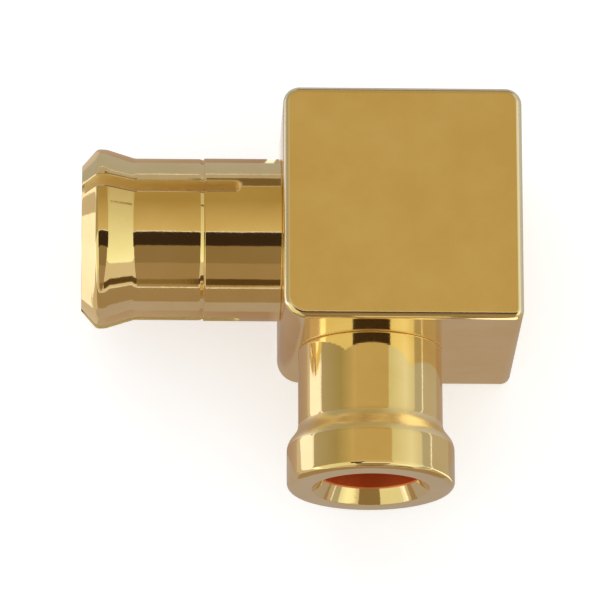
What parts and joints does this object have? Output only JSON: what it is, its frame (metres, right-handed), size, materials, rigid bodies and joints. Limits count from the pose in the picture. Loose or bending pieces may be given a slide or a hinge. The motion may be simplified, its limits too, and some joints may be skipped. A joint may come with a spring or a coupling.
{
  "type": "right-angle coaxial plug",
  "caption": "Small right-angle coaxial plug for soldered semi-rigid cable: square gold-plated block, slotted push-fit plug sleeve on one side and a collared cable ferrule on the next.",
  "frame": {"origin": "on the block's back face, on which the part lies, under the point where the plug axis and the cable axis cross", "axes": "-X along the plug axis out of the plug sleeve, -Y along the cable axis out of the ferrule's mouth, +Z out of the block's front face"},
  "size_m": [0.0097, 0.0084, 0.0052],
  "materials": {
    "block_gold": "gold plated, satin",
    "sleeve_gold": "gold plated, turned bright",
    "ferrule_gold": "gold plated, turned bright",
    "cap_gold": "gold plated, satin",
    "pin_gold": "gold plated, turned bright",
    "insulator_white": "turned white PTFE"
  },
  "bodies": {
    "root": {"body_block": "block_gold", "plug_sleeve": "sleeve_gold", "cable_ferrule": "ferrule_gold", "access_cap": "cap_gold", "centre_pin": "pin_gold", "front_insulator": "insulator_white", "rear_insulator": "insulator_white"}
  },
  "joints": []
}
